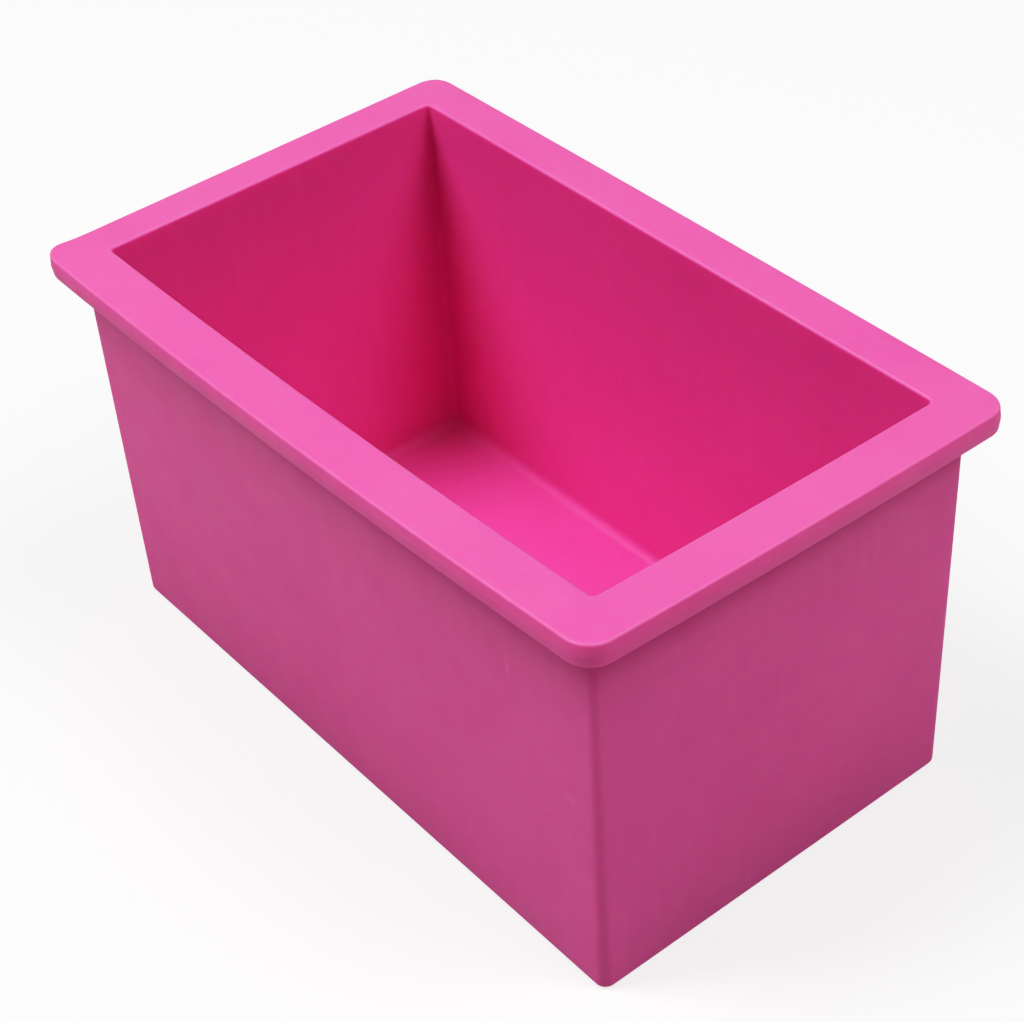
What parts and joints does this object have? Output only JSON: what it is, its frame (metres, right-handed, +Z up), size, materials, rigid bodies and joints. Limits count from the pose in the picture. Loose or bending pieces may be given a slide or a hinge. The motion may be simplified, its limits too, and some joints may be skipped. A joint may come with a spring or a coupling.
{
  "type": "soap loaf mould",
  "caption": "Open rectangular silicone loaf mould with thick tapered walls, a closed flat base and a wide flat rim, for casting a block of soap.",
  "frame": {"origin": "centre of the base, on the face it stands on", "axes": "+Z up out of the opening, +X along the loaf's length, +Y across its width"},
  "size_m": [0.15, 0.0904, 0.081],
  "materials": {
    "silicone": "satin, slightly translucent hot pink silicone rubber"
  },
  "bodies": {
    "root": {"mould_body": "silicone"}
  },
  "joints": []
}
